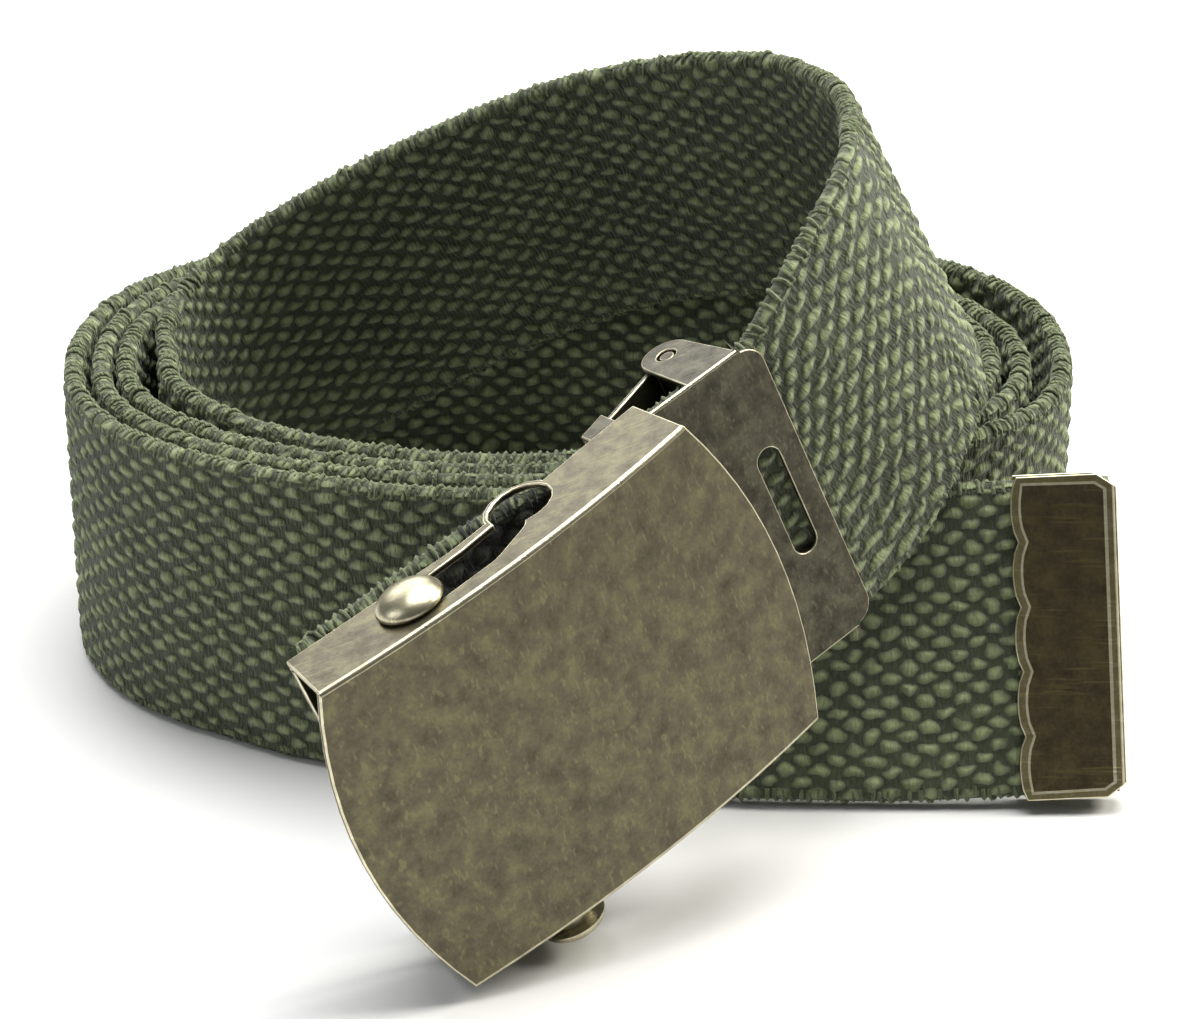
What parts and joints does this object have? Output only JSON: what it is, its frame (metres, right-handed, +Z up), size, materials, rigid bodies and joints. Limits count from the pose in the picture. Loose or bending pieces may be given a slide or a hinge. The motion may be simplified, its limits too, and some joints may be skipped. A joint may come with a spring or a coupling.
{
  "type": "web belt",
  "caption": "Coiled canvas web belt with a box-frame slide buckle on one end and a folded metal tip on the other.",
  "frame": {"origin": "under the middle of the whole coiled belt, on the surface that it stands on", "axes": "+Z up, +X from the coil's left to the free end's tip as the front is seen, +Y from the buckle to the back of the coil"},
  "size_m": [0.1312, 0.1396, 0.0763],
  "materials": {
    "canvas": "coarse plain-woven olive cotton webbing, matt",
    "antique_brass": "antique brass plating, worn bright along the edges",
    "dark_brass": "dark antique brass plating",
    "tip_brass": "dark antique brass plating with worn margins"
  },
  "bodies": {
    "belt": {"webbing": "canvas", "buckle_box": "antique_brass", "clamp_plate": "dark_brass", "clamp_base": "dark_brass", "hinge_pin": "dark_brass", "tip_cap": "tip_brass"},
    "roller": {"roller_bar": "antique_brass"}
  },
  "joints": [
    {"name": "roller_slide", "type": "slide", "parent": "belt", "child": "roller", "axis": [0.7592, 0.5422, 0.3601], "range_m": [0, 0.0095]}
  ]
}
